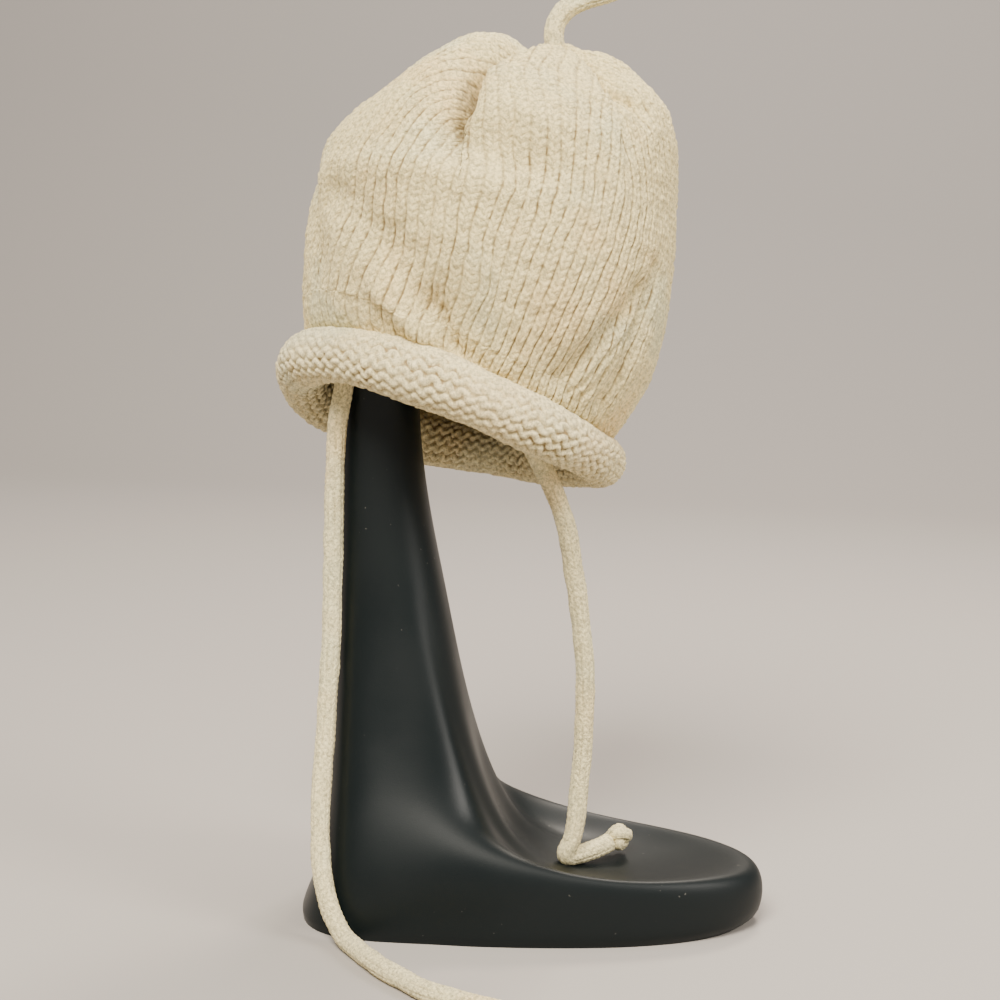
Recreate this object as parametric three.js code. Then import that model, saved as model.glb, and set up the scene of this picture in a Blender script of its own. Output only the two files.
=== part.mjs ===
// A baby's knit cap with a rolled brim, a topknot and two tie cords, on a plain black moulded stand.
// Millimetres, +Z up. The foot's toe points along +X, and the cap's near side faces -Y.
import * as THREE from "three";

// Stand
const FOOT_LENGTH = 190;
const FOOT_WIDTH = 100;
const FOOT_FORWARD = 7;
const FOOT_WAIST = -16;
const HEEL_WIDTH = 108;
const RIM_HEIGHT = 27;
const FLARE_HEIGHT = 138;
const POST_HEIGHT = 212;
const POST_WIDTH = 31.5;
const POST_DEPTH = 38;
const POST_SETBACK = 79;
const KNOB_WIDTH = 84;
const KNOB_HEIGHT = 66;
const KNOB_FORWARD = 12;

// Cap
const BRIM_HEIGHT = 204;
const BRIM_OFFSET = -35;
const BRIM_WIDTH = 126;
const BRIM_DEPTH = 120;
const BRIM_ROLL = 22.5;
const BRIM_LEAN = 14.3;
const BRIM_TIP = 18;
const BRIM_WAVE = 3.3;
const CAP_WIDTH = 150;
const CAP_RISE = 150;
const CAP_DEPTH = 140;
const SIDE_LENGTH = 175;
const WALL = 3;
const FOLD_DEPTH = 10;

// Cords and knots
const CORD_DIAMETER = 7.2;
const KNOT_LENGTH = 12;
const KNOT_WIDTH = 11.5;

// Spaces between pieces
const TOUCH_GAP = 0.3;

// How square the ovals are: 2 is an ellipse, and more is squarer
const TOE_OVAL_POWER = 2;
const HEEL_OVAL_POWER = 4;
const POST_OVAL_POWER = 2.4;
const CAP_OVAL_POWER = 2.25;

// The knob's lean, in shares of the way from upright to the gather, and its ends, in radians from its top
const KNOB_TILT_SHARE = 0.6;
const KNOB_START_ANGLE = 2.4;
const KNOB_END_ANGLE = 0.16;

// How far the neck keeps the direction of the post and of the knob, in shares of its length
const NECK_RISE_SHARE = 0.45;
const NECK_BEND_SHARE = 0.25;

// How finely the round forms are divided
const STAND_SIDES = 40;
const SHELL_SIDES = 64;
const SHELL_LEVELS = 24;
const BRIM_STEPS = 48;
const BRIM_SIDES = 10;
const CORD_SIDES = 8;
const CORD_STEP = 1.5 * CORD_DIAMETER;
const KNOB_RINGS = 7;
const KNOT_SIDES = 12;
const NECK_ROWS = 5;

const knitMaterial = new THREE.MeshStandardMaterial({ color: 0xe3d6b8, roughness: 0.95, metalness: 0 });
const plasticMaterial = new THREE.MeshStandardMaterial({ color: 0x1f2628, roughness: 0.42, metalness: 0 });

// The foot's section in each of six directions round the post: `out` is a share of the way from the post to
// the foot's edge, `rim` a share of the rim's height, and `rise` of the way from the rim to the flare's top.
const FOOT_SECTIONS = [
  {
    turn: 0,
    rows: [
      { out: 0.93, rim: 0, rise: 0 },
      { out: 0.975, rim: 0.16, rise: 0 },
      { out: 1.0, rim: 0.5, rise: 0 },
      { out: 0.985, rim: 0.82, rise: 0 },
      { out: 0.95, rim: 1.0, rise: 0 },
      { out: 0.9, rim: 0.92, rise: 0 },
      { out: 0.8, rim: 0.75, rise: 0 },
      { out: 0.6, rim: 0.68, rise: 0 },
      { out: 0.41, rim: 0.72, rise: 0 },
      { out: 0.29, rim: 0.92, rise: 0 },
      { out: 0.21, rim: 1.0, rise: 0.07 },
      { out: 0.138, rim: 1.0, rise: 0.26 },
      { out: 0.082, rim: 1.0, rise: 0.5 },
      { out: 0.036, rim: 1.0, rise: 0.78 },
    ],
  },
  {
    turn: 58,
    rows: [
      { out: 0.97, rim: 0, rise: 0 },
      { out: 1.0, rim: 0.15, rise: 0 },
      { out: 1.0, rim: 0.55, rise: 0 },
      { out: 0.985, rim: 0.86, rise: 0 },
      { out: 0.95, rim: 1.04, rise: 0 },
      { out: 0.9, rim: 1.0, rise: 0 },
      { out: 0.8, rim: 0.85, rise: 0 },
      { out: 0.62, rim: 0.82, rise: 0 },
      { out: 0.47, rim: 0.92, rise: 0 },
      { out: 0.36, rim: 1.0, rise: 0.06 },
      { out: 0.275, rim: 1.0, rise: 0.2 },
      { out: 0.175, rim: 1.0, rise: 0.42 },
      { out: 0.1, rim: 1.0, rise: 0.66 },
      { out: 0.037, rim: 1.0, rise: 0.86 },
    ],
  },
  {
    turn: 75,
    rows: [
      { out: 0.97, rim: 0, rise: 0 },
      { out: 1.0, rim: 0.15, rise: 0 },
      { out: 1.0, rim: 0.55, rise: 0 },
      { out: 0.985, rim: 0.9, rise: 0 },
      { out: 0.95, rim: 1.0, rise: 0.03 },
      { out: 0.89, rim: 1.0, rise: 0.05 },
      { out: 0.8, rim: 1.0, rise: 0.07 },
      { out: 0.7, rim: 1.0, rise: 0.1 },
      { out: 0.6, rim: 1.0, rise: 0.155 },
      { out: 0.51, rim: 1.0, rise: 0.24 },
      { out: 0.41, rim: 1.0, rise: 0.39 },
      { out: 0.27, rim: 1.0, rise: 0.62 },
      { out: 0.15, rim: 1.0, rise: 0.8 },
      { out: 0.05, rim: 1.0, rise: 0.92 },
    ],
  },
  {
    turn: 90,
    rows: [
      { out: 0.97, rim: 0, rise: 0 },
      { out: 1.0, rim: 0.15, rise: 0 },
      { out: 1.0, rim: 0.55, rise: 0 },
      { out: 0.985, rim: 0.93, rise: 0 },
      { out: 0.95, rim: 1.0, rise: 0.06 },
      { out: 0.89, rim: 1.0, rise: 0.13 },
      { out: 0.8, rim: 1.0, rise: 0.18 },
      { out: 0.7, rim: 1.0, rise: 0.24 },
      { out: 0.58, rim: 1.0, rise: 0.33 },
      { out: 0.46, rim: 1.0, rise: 0.43 },
      { out: 0.34, rim: 1.0, rise: 0.52 },
      { out: 0.23, rim: 1.0, rise: 0.63 },
      { out: 0.13, rim: 1.0, rise: 0.76 },
      { out: 0.05, rim: 1.0, rise: 0.9 },
    ],
  },
  {
    turn: 118,
    rows: [
      { out: 0.98, rim: 0, rise: 0 },
      { out: 1.0, rim: 0.15, rise: 0 },
      { out: 0.99, rim: 0.4, rise: 0 },
      { out: 0.96, rim: 0.68, rise: 0 },
      { out: 0.91, rim: 0.95, rise: 0 },
      { out: 0.84, rim: 1.0, rise: 0.06 },
      { out: 0.75, rim: 1.0, rise: 0.13 },
      { out: 0.65, rim: 1.0, rise: 0.2 },
      { out: 0.54, rim: 1.0, rise: 0.28 },
      { out: 0.43, rim: 1.0, rise: 0.37 },
      { out: 0.32, rim: 1.0, rise: 0.48 },
      { out: 0.22, rim: 1.0, rise: 0.6 },
      { out: 0.13, rim: 1.0, rise: 0.73 },
      { out: 0.05, rim: 1.0, rise: 0.87 },
    ],
  },
  {
    turn: 180,
    rows: [
      { out: 0.95, rim: 0, rise: 0 },
      { out: 1.0, rim: 0.13, rise: 0 },
      { out: 0.88, rim: 0.3, rise: 0 },
      { out: 0.62, rim: 0.48, rise: 0 },
      { out: 0.4, rim: 0.66, rise: 0 },
      { out: 0.25, rim: 0.86, rise: 0 },
      { out: 0.16, rim: 1.0, rise: 0.06 },
      { out: 0.1, rim: 1.0, rise: 0.14 },
      { out: 0.06, rim: 1.0, rise: 0.23 },
      { out: 0.03, rim: 1.0, rise: 0.33 },
      { out: 0.015, rim: 1.0, rise: 0.45 },
      { out: 0, rim: 1.0, rise: 0.58 },
      { out: 0, rim: 1.0, rise: 0.72 },
      { out: 0, rim: 1.0, rise: 0.86 },
    ],
  },
];

// The post above the flare: `rise` is a share of the way up to the post's top, the others of its top
// section.
const POST_ROWS = [
  { rise: 0, width: 1.38, depth: 1.2 },
  { rise: 0.2, width: 1.24, depth: 1.14 },
  { rise: 0.45, width: 1.12, depth: 1.08 },
  { rise: 0.72, width: 1.03, depth: 1.03 },
  { rise: 1, width: 0.96, depth: 1 },
];

// The bag's outline at each level, from the brim's centre: across in shares of CAP_WIDTH, up of CAP_RISE and
// deep of CAP_DEPTH. `climb` is the share of the bag's side, from the brim to the gather.
const SHELL_COLUMNS = ["climb", "leftX", "leftZ", "rightX", "rightZ", "nearY", "nearZ", "farY", "farZ"];
const SHELL_ROWS = [
  [0.05, -0.403, 0.273, 0.473, 0.013, -0.439, 0.247, 0.45, 0.013],
  [0.13, -0.404, 0.367, 0.522, 0.1, -0.464, 0.34, 0.471, 0.1],
  [0.22, -0.397, 0.473, 0.553, 0.2, -0.482, 0.44, 0.493, 0.207],
  [0.32, -0.381, 0.587, 0.571, 0.32, -0.486, 0.547, 0.514, 0.327],
  [0.42, -0.353, 0.687, 0.58, 0.44, -0.479, 0.647, 0.521, 0.447],
  [0.5, -0.293, 0.767, 0.58, 0.547, -0.461, 0.72, 0.521, 0.547],
  [0.58, -0.22, 0.827, 0.578, 0.64, -0.432, 0.787, 0.5, 0.633],
  [0.66, -0.153, 0.893, 0.573, 0.733, -0.386, 0.84, 0.457, 0.72],
  [0.74, -0.077, 0.95, 0.547, 0.823, -0.329, 0.887, 0.393, 0.793],
  [0.82, 0.007, 0.993, 0.487, 0.893, -0.264, 0.927, 0.307, 0.86],
  [0.89, 0.087, 1.01, 0.42, 0.95, -0.2, 0.957, 0.207, 0.913],
  [0.95, 0.16, 1, 0.353, 0.98, -0.136, 0.977, 0.1, 0.953],
  [1, 0.203, 0.99, 0.283, 0.99, -0.086, 0.99, 0, 0.99],
];

// Folds, dents and gathers of the bag: each runs from one place to another, with angles round the bag in
// degrees (-90 is the near side, 180 the left). `before` and `after` are its widths on the side of smaller
// and of larger angles, in shares of SIDE_LENGTH, and `deep` is in shares of FOLD_DEPTH.
const FOLD_COLUMNS = ["name", "angle", "climb", "toAngle", "toClimb", "before", "after", "deep"];
const FOLD_ROWS = [
  ["main crease, top", -103, 0.95, -103, 0.72, 0.075, 0.022, 0.9],
  ["main crease, foot", -103, 0.72, -97, 0.54, 0.08, 0.028, 0.9],
  ["hollow under the lobes", -100, 0.48, -78, 0.46, 0.065, 0.065, 0.45],
  ["left lobe", -138, 0.8, -132, 0.58, 0.08, 0.08, -0.3],
  ["middle lobe", -90, 0.86, -86, 0.6, 0.045, 0.07, -0.35],
  ["right crease", -54, 0.94, -48, 0.73, 0.022, 0.04, 0.6],
  ["right back crease", 10, 0.95, 14, 0.74, 0.04, 0.04, 0.7],
  ["back crease", 78, 0.94, 72, 0.68, 0.05, 0.05, 0.8],
  ["left back crease", 146, 0.94, 140, 0.7, 0.045, 0.045, 0.8],
  ["ledge", -150, 0.32, -76, 0.43, 0.04, 0.04, -0.22],
  ["dent over the brim", -114, 0.16, -91, 0.03, 0.042, 0.042, 0.5],
  ["puff over the brim", -100, 0.05, -95, 0.05, 0.03, 0.03, -0.3],
  ["right pull, near", -56, 0.06, -34, 0.3, 0.03, 0.03, 0.4],
  ["right pull, far", -34, 0.05, -26, 0.36, 0.028, 0.028, 0.25],
  ["left side sag", -168, 0.34, -146, 0.12, 0.05, 0.05, 0.22],
  ["back sag", 70, 0.1, 110, 0.34, 0.06, 0.06, 0.35],
];

// The topknot's route, from the gather.
const TOPKNOT_ROUTE = [
  [0, 0, 0.8],
  [-0.5, 0, 4.5],
  [0.5, 0, 9],
  [4, 0, 13.8],
  [10, 0, 17.1],
  [16.5, 0, 19.1],
  [23.5, 0, 21.5],
  [29.5, 0, 24.5],
];

// The ties' routes, points chosen by hand, from under the foot's middle.
const LEFT_ROUTE = [
  [-75.6, -18.4, 222],
  [-76.7, -18.7, 214],
  [-78.5, -18.9, 203],
  [-79, -19, 190],
  [-79.2, -19.2, 173],
  [-79, -19.7, 154],
  [-78.8, -20.2, 134],
  [-78.6, -21.6, 115],
  [-78.8, -25, 95],
  [-79, -29, 77],
  [-79, -35, 58],
  [-78.4, -40.6, 43],
  [-76.8, -46.5, 29],
  [-73.4, -52, 17.5],
  [-69.4, -56, 9.5],
  [-65, -60.5, 4.6],
  [-59.6, -68, 3.7],
  [-53.4, -78, 3.7],
  [-46, -88, 3.7],
  [-38, -97, 3.7],
  [-28, -107, 3.7],
  [-15, -114.5, 3.7],
  [-3, -120, 3.7],
  [8, -127, 4.2],
  [14, -137, 6.1],
];
const RIGHT_ROUTE = [
  [-3.4, -33.8, 204],
  [-1.3, -32.2, 199],
  [1.8, -29.8, 193],
  [6.6, -26, 183.5],
  [10.2, -22, 175],
  [14.2, -18, 163],
  [16.6, -14, 149.5],
  [19.2, -11, 136],
  [21.6, -8, 120],
  [23.6, -5, 103],
  [24.2, -3, 86],
  [24, -2, 69],
  [23.2, -2.8, 53],
  [22.6, -4, 40],
  [21.2, -5.6, 31.5],
  [19, -6.4, 26.4],
  [19.6, -5.2, 24.2],
  [23.6, -1.2, 23.8],
  [28.6, 3.4, 24.2],
  [33.2, 7.6, 25.1],
  [36.6, 10.7, 26.2],
];

const radians = THREE.MathUtils.degToRad;
const point = (x, y, z) => new THREE.Vector3(x, y, z);
const turnsOf = (sides) => Array.from({ length: sides }, (_, side) => (2 * Math.PI * side) / sides);

// The two triangles of a quad, split along its shorter diagonal.
function quad(places, a, b, c, d) {
  const shorter = places[a].distanceTo(places[c]) <= places[b].distanceTo(places[d]);
  return shorter ? [a, b, c, a, c, d] : [a, b, d, b, c, d];
}

// A closed mesh through rings of equal counts. The ends are closed by fans.
function loft(rings) {
  const sides = rings[0].length;
  const places = rings.flat();
  const faces = [];
  for (let row = 0; row + 1 < rings.length; row++) {
    for (let side = 0; side < sides; side++) {
      const next = (side + 1) % sides;
      const [a, b] = [row * sides + side, row * sides + next];
      faces.push(...quad(places, a, b, b + sides, a + sides));
    }
  }
  const centre = (ring) => ring.reduce((sum, p) => sum.add(p), point(0, 0, 0)).divideScalar(sides);
  const first = places.push(centre(rings[0])) - 1;
  const last = places.push(centre(rings[rings.length - 1])) - 1;
  const top = (rings.length - 1) * sides;
  for (let side = 0; side < sides; side++) {
    const next = (side + 1) % sides;
    faces.push(first, next, side);
    faces.push(last, top + side, top + next);
  }
  return new THREE.BufferGeometry().setFromPoints(places).setIndex(faces);
}

// A closed mesh through rings that come back to the first one.
function ringLoft(rings) {
  const sides = rings[0].length;
  const places = rings.flat();
  const faces = [];
  rings.forEach((ring, row) => {
    const following = (row + 1) % rings.length;
    for (let side = 0; side < sides; side++) {
      const next = (side + 1) % sides;
      const [a, b] = [row * sides + side, row * sides + next];
      const [c, d] = [following * sides + next, following * sides + side];
      faces.push(...quad(places, a, b, c, d));
    }
  });
  return new THREE.BufferGeometry().setFromPoints(places).setIndex(faces);
}

function namedMesh(name, geometry, material) {
  geometry.computeVertexNormals();
  const mesh = new THREE.Mesh(geometry, material);
  mesh.name = name;
  return mesh;
}

// A cosine or sine pushed towards the corners of a squarer oval.
const squared = (value, power) => Math.sign(value) * Math.abs(value) ** (2 / power);

// The brim's centre line, and the direction that the cap stands in.
const brimCentre = point(BRIM_OFFSET, 0, BRIM_HEIGHT);
const brimAcross = point(Math.cos(radians(BRIM_LEAN)), 0, -Math.sin(radians(BRIM_LEAN)));
const brimUp = point(0, Math.cos(radians(BRIM_TIP)), -Math.sin(radians(BRIM_TIP)));
const capAxis = brimAcross.clone().cross(brimUp).normalize();
const brimBack = capAxis.clone().cross(brimAcross);

function brimLine(angle) {
  return brimCentre
    .clone()
    .addScaledVector(brimAcross, (BRIM_WIDTH / 2) * Math.cos(angle))
    .addScaledVector(brimBack, (BRIM_DEPTH / 2) * Math.sin(angle))
    .addScaledVector(capAxis, BRIM_WAVE * Math.sin(2 * angle));
}

function rolledBrim() {
  const rings = turnsOf(BRIM_STEPS).map((angle) => {
    const middle = brimLine(angle);
    const outward = brimAcross
      .clone()
      .multiplyScalar(Math.cos(angle) / BRIM_WIDTH)
      .addScaledVector(brimBack, Math.sin(angle) / BRIM_DEPTH)
      .normalize();
    return turnsOf(BRIM_SIDES).map((round) => {
      const spot = middle.clone().addScaledVector(outward, (BRIM_ROLL / 2) * Math.cos(round));
      return spot.addScaledVector(capAxis, (-BRIM_ROLL / 2) * Math.sin(round));
    });
  });
  return namedMesh("rolled_brim", ringLoft(rings), knitMaterial);
}

// A point of the smooth bag, without its folds. Row 0 is the edge that rests on the brim's roll.
const levels = new THREE.CubicInterpolant(
  SHELL_ROWS.map((row) => row[0]),
  SHELL_ROWS.flat(),
  SHELL_COLUMNS.length,
);
const climbOf = (row) => THREE.MathUtils.lerp(SHELL_ROWS[0][0], 1, (row - 1) / (SHELL_LEVELS - 1));
function bagPoint(row, angle) {
  if (row === 0) return brimLine(angle).addScaledVector(capAxis, BRIM_ROLL / 2 + TOUCH_GAP);
  const values = levels.evaluate(climbOf(row));
  const level = Object.fromEntries(SHELL_COLUMNS.map((column, i) => [column, values[i]]));
  const across = squared(Math.cos(angle), CAP_OVAL_POWER);
  const deep = squared(Math.sin(angle), CAP_OVAL_POWER);
  const mix = (left, right, near, far, bow) =>
    (left + right) / 2 + (across * (right - left)) / 2 + (deep * (far - near)) / 2 +
    bow * deep * deep * ((near + far) / 2 - (left + right) / 2);
  const middle = (level.nearY + level.farY) / 2;
  const wave = BRIM_WAVE * Math.sin(2 * angle) * (1 - climbOf(row)) ** 2;
  return brimCentre.clone().add(
    point(
      CAP_WIDTH * mix(level.leftX, level.rightX, 0, 0, 0),
      CAP_DEPTH * mix(middle, middle, level.nearY, level.farY, 0),
      CAP_RISE * mix(level.leftZ, level.rightZ, level.nearZ, level.farZ, 1) + wave,
    ),
  );
}

// The middle of the gather at the crown.
const gatherNear = bagPoint(SHELL_LEVELS, -Math.PI / 2);
const gather = gatherNear.clone().lerp(bagPoint(SHELL_LEVELS, Math.PI / 2), 0.5);

// How far the folds pull the bag inwards at a place.
const folds = FOLD_ROWS.map((row) => Object.fromEntries(FOLD_COLUMNS.map((column, i) => [column, row[i]])));
function foldAt(angle, climb, radius) {
  let depth = 0;
  for (const fold of folds) {
    const start = radians(fold.angle);
    const turn = THREE.MathUtils.euclideanModulo(angle - start + Math.PI, 2 * Math.PI) - Math.PI;
    const along = radians(fold.toAngle - fold.angle) * radius;
    const rise = (fold.toClimb - fold.climb) * SIDE_LENGTH;
    const [x, z] = [turn * radius, (climb - fold.climb) * SIDE_LENGTH];
    const share = THREE.MathUtils.clamp((x * along + z * rise) / (along * along + rise * rise), 0, 1);
    const wide = (x > share * along ? fold.after : fold.before) * SIDE_LENGTH;
    const distance = Math.hypot(x - share * along, z - share * rise) / wide;
    depth += fold.deep * FOLD_DEPTH * Math.exp(-distance * distance);
  }
  return depth;
}

function knittedShell() {
  const angles = turnsOf(SHELL_SIDES);
  const smooth = [];
  for (let row = 0; row <= SHELL_LEVELS; row++) smooth.push(angles.map((angle) => bagPoint(row, angle)));
  const outer = [];
  const inner = [];
  smooth.forEach((ring, row) => {
    const above = smooth[Math.min(row + 1, smooth.length - 1)];
    const below = smooth[Math.max(row - 1, 0)];
    const climb = row === 0 ? 0 : climbOf(row);
    const middle = ring.reduce((sum, p) => sum.add(p), point(0, 0, 0)).divideScalar(SHELL_SIDES);
    const outerRing = [];
    const innerRing = [];
    ring.forEach((place, side) => {
      const before = ring[(side + SHELL_SIDES - 1) % SHELL_SIDES];
      const after = ring[(side + 1) % SHELL_SIDES];
      const up = above[side].clone().sub(below[side]);
      const out = after.clone().sub(before).cross(up);
      if (row === 0) out.addScaledVector(capAxis, -out.dot(capAxis));
      out.normalize();
      const held = row === 0 || row === smooth.length - 1;
      const fold = held ? 0 : foldAt(angles[side], climb, place.distanceTo(middle));
      const surface = place.clone().addScaledVector(out, row === 0 ? WALL / 2 : -fold);
      outerRing.push(surface);
      innerRing.push(surface.clone().addScaledVector(out, -WALL));
    });
    outer.push(outerRing);
    inner.push(innerRing);
  });
  const lined = inner.slice(0, SHELL_LEVELS).reverse();
  return namedMesh("knitted_shell", loft([...lined, ...outer]), knitMaterial);
}

// The foot's edge seen from above, and the post's section where the flare ends.
function footEdge(angle) {
  const toe = Math.cos(angle) > 0;
  const power = toe ? TOE_OVAL_POWER : HEEL_OVAL_POWER;
  const end = (toe ? FOOT_LENGTH / 2 : -FOOT_LENGTH / 2) + FOOT_FORWARD;
  const reach = Math.abs(end - FOOT_WAIST);
  const along = Math.cos(angle);
  const taper = THREE.MathUtils.smoothstep(along, -0.6, 0.4);
  const half = THREE.MathUtils.lerp(HEEL_WIDTH, FOOT_WIDTH, taper) / 2;
  return point(FOOT_WAIST + reach * squared(along, power), half * squared(Math.sin(angle), power), 0);
}

function postSection(height, width, depth, angle) {
  const x = -POST_SETBACK + width / 2 + (width / 2) * squared(Math.cos(angle), POST_OVAL_POWER);
  return point(x, (depth / 2) * squared(Math.sin(angle), POST_OVAL_POWER), height);
}

// A foot section between the two listed directions that the angle lies between.
function footRow(row, angle) {
  const turn = Math.min(THREE.MathUtils.radToDeg(angle), 360 - THREE.MathUtils.radToDeg(angle));
  let after = 1;
  while (FOOT_SECTIONS[after].turn < turn) after++;
  const [from, to] = [FOOT_SECTIONS[after - 1], FOOT_SECTIONS[after]];
  const share = THREE.MathUtils.smoothstep(turn, from.turn, to.turn);
  const blend = (key) => THREE.MathUtils.lerp(from.rows[row][key], to.rows[row][key], share);
  const height = blend("rim") * RIM_HEIGHT + blend("rise") * (FLARE_HEIGHT - RIM_HEIGHT);
  return { out: blend("out"), height };
}

// The least distance that one mesh can move along a direction before it meets another.
function freeTravel(mover, target, direction) {
  const ray = new THREE.Raycaster();
  let least = Infinity;
  const cast = (from, onto, heading) => {
    const places = from.geometry.getAttribute("position");
    for (let i = 0; i < places.count; i++) {
      ray.set(point(0, 0, 0).fromBufferAttribute(places, i), heading);
      const hit = ray.intersectObject(onto)[0];
      if (hit) least = Math.min(least, hit.distance);
    }
  };
  for (const mesh of [mover, target]) mesh.material.side = THREE.DoubleSide;
  cast(mover, target, direction);
  cast(target, mover, direction.clone().negate());
  for (const mesh of [mover, target]) mesh.material.side = THREE.FrontSide;
  return least;
}

// The knob leans part of the way from upright towards the gather.
const upright = point(0, 0, 1);
const towardsGather = gather.clone().sub(brimCentre).normalize();
const knobAxis = upright.clone().lerp(towardsGather, KNOB_TILT_SHARE).normalize();
const knobAcross = point(1, 0, 0).addScaledVector(knobAxis, -knobAxis.x).normalize();
const knobBack = knobAxis.clone().cross(knobAcross);
function knobRings(centre) {
  return Array.from({ length: KNOB_RINGS + 1 }, (_, row) => {
    const polar = THREE.MathUtils.lerp(KNOB_START_ANGLE, KNOB_END_ANGLE, row / KNOB_RINGS);
    const radius = (KNOB_WIDTH / 2) * Math.sin(polar);
    return turnsOf(STAND_SIDES).map((angle) => {
      const spot = centre.clone().addScaledVector(knobAxis, (KNOB_HEIGHT / 2) * Math.cos(polar));
      spot.addScaledVector(knobAcross, radius * Math.cos(angle));
      return spot.addScaledVector(knobBack, radius * Math.sin(angle));
    });
  });
}

// The stand in one piece: foot, flared post, neck, and the plain knob that the crown rests on.
function stand(shell) {
  const rings = [];
  const turns = turnsOf(STAND_SIDES);
  const sections = POST_ROWS.map((row) => ({
    height: THREE.MathUtils.lerp(FLARE_HEIGHT, POST_HEIGHT, row.rise),
    width: row.width * POST_WIDTH,
    depth: row.depth * POST_DEPTH,
  }));
  for (let row = 0; row < FOOT_SECTIONS[0].rows.length; row++) {
    rings.push(
      turns.map((angle) => {
        const { out, height } = footRow(row, angle);
        const post = postSection(0, sections[0].width, sections[0].depth, angle);
        return post.lerp(footEdge(angle), out).setZ(height);
      }),
    );
  }
  for (const { height, width, depth } of sections) {
    rings.push(turns.map((angle) => postSection(height, width, depth, angle)));
  }
  const low = brimCentre.clone().add(point(KNOB_FORWARD, 0, KNOB_HEIGHT / 2));
  const trial = namedMesh("trial", loft(knobRings(low)), plasticMaterial);
  const lift = freeTravel(trial, shell, upright) - TOUCH_GAP;
  const knob = knobRings(low.addScaledVector(upright, lift));
  const postTop = rings[rings.length - 1];
  const neckBase = knob[0];
  const reach = neckBase[0].distanceTo(postTop[0]);
  for (let row = 1; row < NECK_ROWS; row++) {
    const share = row / NECK_ROWS;
    rings.push(
      turns.map((angle, side) => {
        const curve = new THREE.CubicBezierCurve3(
          postTop[side],
          postTop[side].clone().addScaledVector(upright, reach * NECK_RISE_SHARE),
          neckBase[side].clone().addScaledVector(knobAxis, -reach * NECK_BEND_SHARE),
          neckBase[side],
        );
        return curve.getPoint(share);
      }),
    );
  }
  return namedMesh("stand", loft([...rings, ...knob]), plasticMaterial);
}

const routeCurve = (route, from) => {
  return new THREE.CatmullRomCurve3(route.map(([x, y, z]) => point(x, y, z).add(from)));
};

// A cord of round section along a curve.
function cord(name, curve) {
  const radius = CORD_DIAMETER / 2;
  const corner = (angle) => new THREE.Vector2(radius * Math.cos(angle), radius * Math.sin(angle));
  const corners = turnsOf(CORD_SIDES).map(corner);
  const section = new THREE.Shape(corners);
  const steps = Math.ceil(curve.getLength() / CORD_STEP);
  const geometry = new THREE.ExtrudeGeometry(section, { steps, bevelEnabled: false, extrudePath: curve });
  return namedMesh(name, geometry, knitMaterial);
}

// A pulled-tight knot past a cord's end: a fat bead with a groove round it.
const KNOT_ROWS = [
  { along: 0, wide: 0.62 },
  { along: 0.12, wide: 0.86 },
  { along: 0.3, wide: 1 },
  { along: 0.5, wide: 0.93 },
  { along: 0.7, wide: 1 },
  { along: 0.88, wide: 0.84 },
  { along: 1, wide: 0.5 },
];
function knot(name, curve) {
  const corner = ({ along, wide }) => new THREE.Vector2((wide * KNOT_WIDTH) / 2, along * KNOT_LENGTH);
  const profile = KNOT_ROWS.map(corner);
  profile.unshift(new THREE.Vector2(0, 0));
  profile.push(new THREE.Vector2(0, KNOT_LENGTH));
  const mesh = namedMesh(name, new THREE.LatheGeometry(profile, KNOT_SIDES), knitMaterial);
  const heading = curve.getTangent(1);
  mesh.quaternion.setFromUnitVectors(point(0, 1, 0), heading);
  mesh.position.copy(curve.getPoint(1).addScaledVector(heading, TOUCH_GAP));
  return mesh;
}

const shell = knittedShell();
const brim = rolledBrim();
const topknotCurve = routeCurve(TOPKNOT_ROUTE, gather);
const leftCurve = routeCurve(LEFT_ROUTE, point(0, 0, 0));
const rightCurve = routeCurve(RIGHT_ROUTE, point(0, 0, 0));
const holder = stand(shell);

const cap = new THREE.Group();
cap.add(shell, brim, cord("topknot_cord", topknotCurve), knot("topknot_knot", topknotCurve));
const ties = new THREE.Group();
ties.add(cord("tie_left", leftCurve), knot("tie_left_knot", leftCurve));
ties.add(cord("tie_right", rightCurve), knot("tie_right_knot", rightCurve));

// The origin is under the middle of the box of the stand and the cap, without the ties.
const part = new THREE.Group();
part.add(holder, cap, ties);
part.updateMatrixWorld(true);
const box = new THREE.Box3().setFromObject(holder, true).union(new THREE.Box3().setFromObject(cap, true));
const middle = box.getCenter(point(0, 0, 0));
part.position.set(-middle.x, -middle.y, -box.min.z);

export default part;
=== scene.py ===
# A baby's knit cap with a rolled brim and two tie cords, shown on a black moulded stand.
import math

import bpy
import numpy as np
from mathutils import Matrix, Vector


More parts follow.
